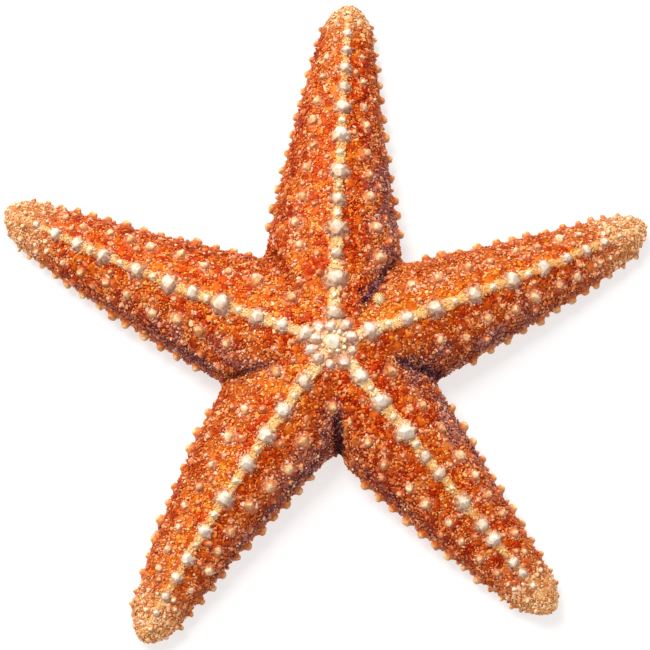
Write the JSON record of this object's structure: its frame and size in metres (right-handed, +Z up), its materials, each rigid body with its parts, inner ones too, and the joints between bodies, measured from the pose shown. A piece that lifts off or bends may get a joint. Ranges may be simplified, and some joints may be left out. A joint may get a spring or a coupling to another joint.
{
  "type": "common starfish",
  "caption": "Life-size still model of a common starfish at rest, with tapering arms, rows of pale tubercles on its back and grooved arms beneath.",
  "frame": {"origin": "on the floor, under the middle of the animal's bounding box", "axes": "+Z up out of the back, the first arm along +Y, the arms counted clockwise from it as seen from above"},
  "size_m": [0.163, 0.1646, 0.0179],
  "materials": {
    "skin": "matte",
    "tip_skin": "matte",
    "ossicle": "matte",
    "soft_tissue": "satin",
    "eyespot": "satin"
  },
  "bodies": {
    "root": {"disc": "skin", "arm_1": "skin", "arm_2": "skin", "arm_3": "skin", "arm_4": "skin", "arm_5": "skin", "arm_tip_1": "tip_skin", "arm_tip_2": "tip_skin", "arm_tip_3": "tip_skin", "arm_tip_4": "tip_skin", "arm_tip_5": "tip_skin", "eyespot_1": "eyespot", "eyespot_2": "eyespot", "eyespot_3": "eyespot", "eyespot_4": "eyespot", "eyespot_5": "eyespot", "madreporite": "ossicle", "mouth": "soft_tissue"}
  },
  "joints": []
}
